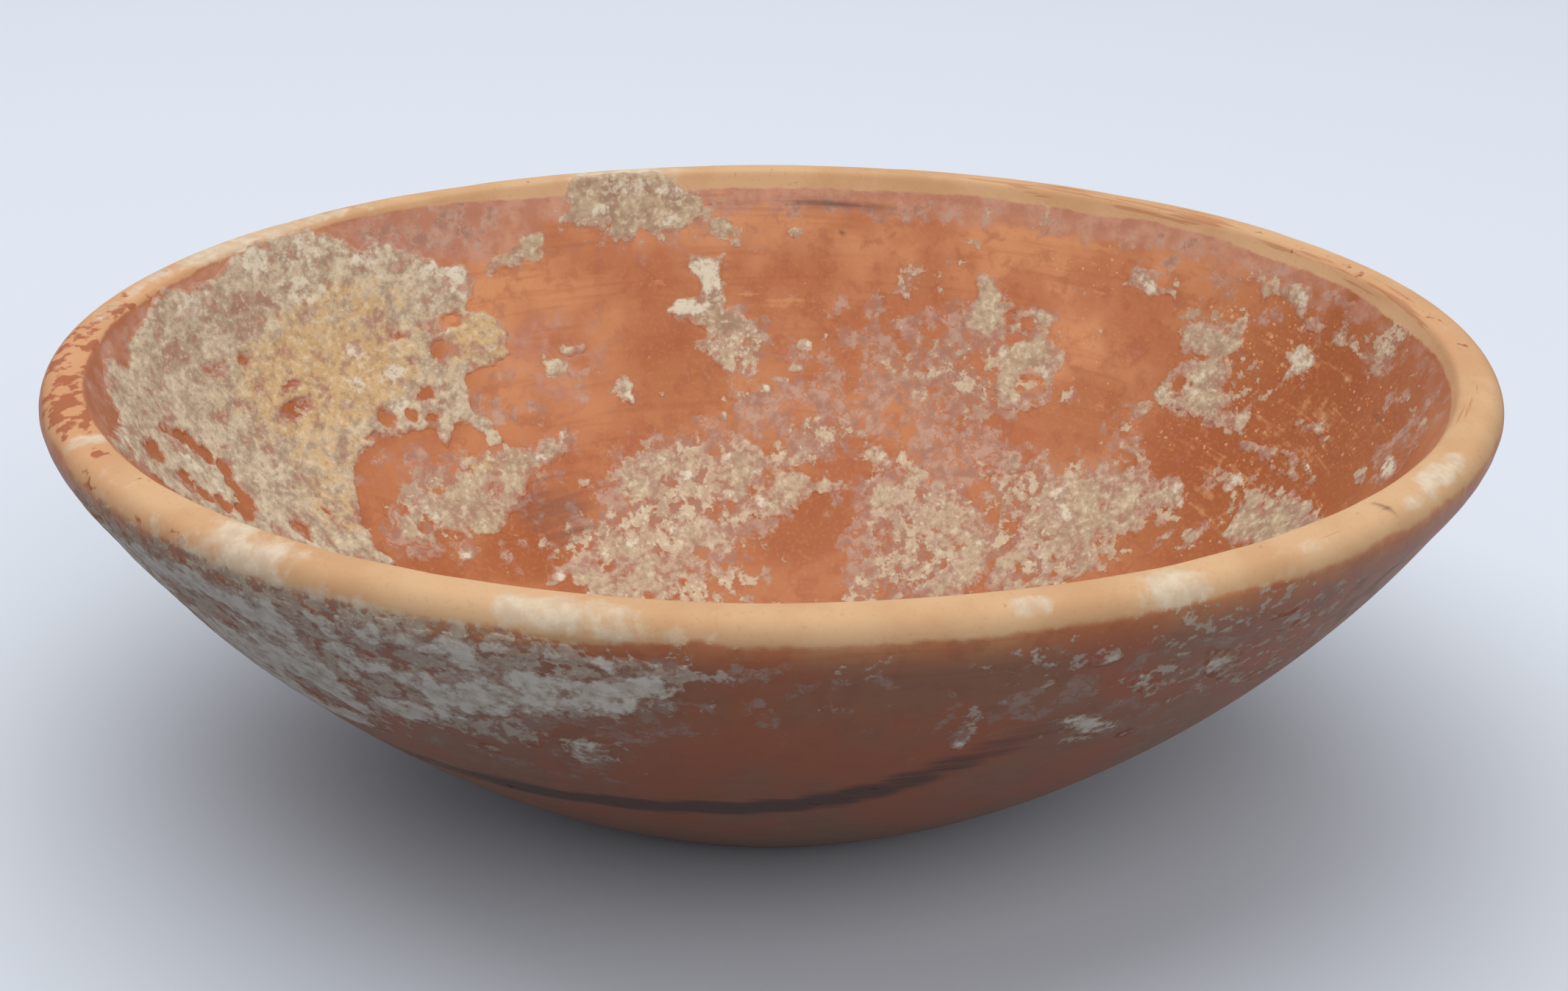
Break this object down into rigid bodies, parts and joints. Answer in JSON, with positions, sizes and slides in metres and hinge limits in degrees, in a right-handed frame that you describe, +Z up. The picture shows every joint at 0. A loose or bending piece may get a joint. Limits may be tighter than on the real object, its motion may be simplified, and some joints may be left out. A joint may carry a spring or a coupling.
{
  "type": "burnished bowl",
  "caption": "Shallow round earthenware bowl on a small flat foot, with a worn buff lip, a burnished red slip and patches of pale lime crust from burial.",
  "frame": {"origin": "middle of the flat foot, on the surface that the bowl stands on", "axes": "+Z up through the middle of the mouth; the picture looks along +Y, down into the bowl, with +X to its right"},
  "size_m": [0.1584, 0.1584, 0.0485],
  "materials": {
    "burnished_slip": "burnished satin red slip, worn to bare buff clay on the lip",
    "sandy_crust": "matt, gritty, ochre to grey-buff",
    "lime_crust": "matt, powdery, pale grey-buff"
  },
  "bodies": {
    "root": {"bowl_body": "burnished_slip", "crust_left_wall": "sandy_crust", "crust_outside_left_front": "sandy_crust", "crust_outside_left_back": "sandy_crust", "crust_left_streak": "lime_crust", "crust_left_lower_wall": "lime_crust", "crust_floor_back_left": "lime_crust", "crust_floor_left": "lime_crust", "crust_floor_back": "lime_crust", "crust_floor_back_right": "lime_crust", "crust_floor_right_spot": "lime_crust", "crust_floor_right": "lime_crust", "crust_floor_right_low": "lime_crust", "crust_right_wall": "lime_crust", "crust_right_spot": "lime_crust", "crust_right_under_lip": "lime_crust", "crust_back_right_wall": "lime_crust", "crust_back_right_spot": "lime_crust", "crust_back_rim": "lime_crust", "crust_back_rim_trail": "lime_crust", "crust_back_streak": "lime_crust", "crust_far_right_upper": "lime_crust", "crust_far_right_lower": "lime_crust", "crust_far_right_streak": "lime_crust", "crust_front_right_upper": "lime_crust", "crust_front_right_lower": "lime_crust", "crust_front_wall_left": "lime_crust", "crust_front_wall_right": "lime_crust", "crust_floor_front": "lime_crust", "crust_outside_front_spot": "lime_crust", "crust_outside_right_lower": "lime_crust", "crust_outside_right_upper": "lime_crust", "crust_outside_right_side": "lime_crust", "crust_outside_far_right": "lime_crust", "crust_outside_back": "lime_crust", "crust_outside_back_left": "lime_crust"}
  },
  "joints": []
}
